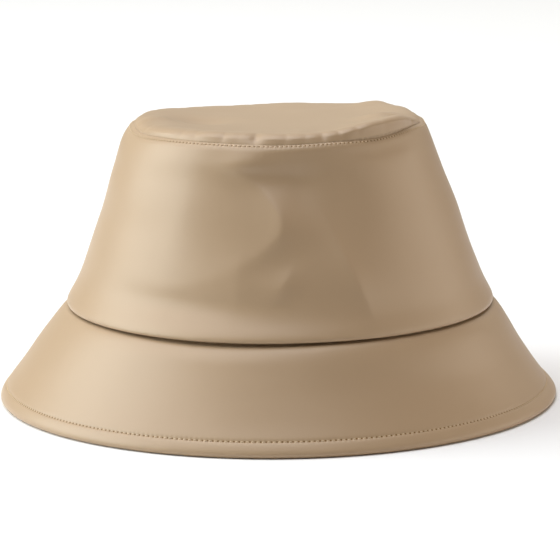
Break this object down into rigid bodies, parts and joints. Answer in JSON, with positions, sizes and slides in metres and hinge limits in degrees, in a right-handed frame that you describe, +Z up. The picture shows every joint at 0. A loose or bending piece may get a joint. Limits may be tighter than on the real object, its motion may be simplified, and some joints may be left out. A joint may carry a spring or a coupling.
{
  "type": "rain bucket hat",
  "caption": "Rain bucket hat of coated cloth: a puffed tip, a tall side wall whose lower fold hangs over the brim seam, and a sloping hemmed brim.",
  "frame": {"origin": "under the middle of the crown, on the surface that the rim rests on", "axes": "+Z up through the crown, -Y the way the front of the hat looks, +X to the right seen from the front"},
  "size_m": [0.244, 0.2728, 0.1276],
  "materials": {
    "shell_cloth": "coated, smooth, satin to matt",
    "thread": "spun polyester sewing thread"
  },
  "bodies": {
    "root": {"crown_tip": "shell_cloth", "crown_wall": "shell_cloth", "brim": "shell_cloth"}
  },
  "joints": []
}
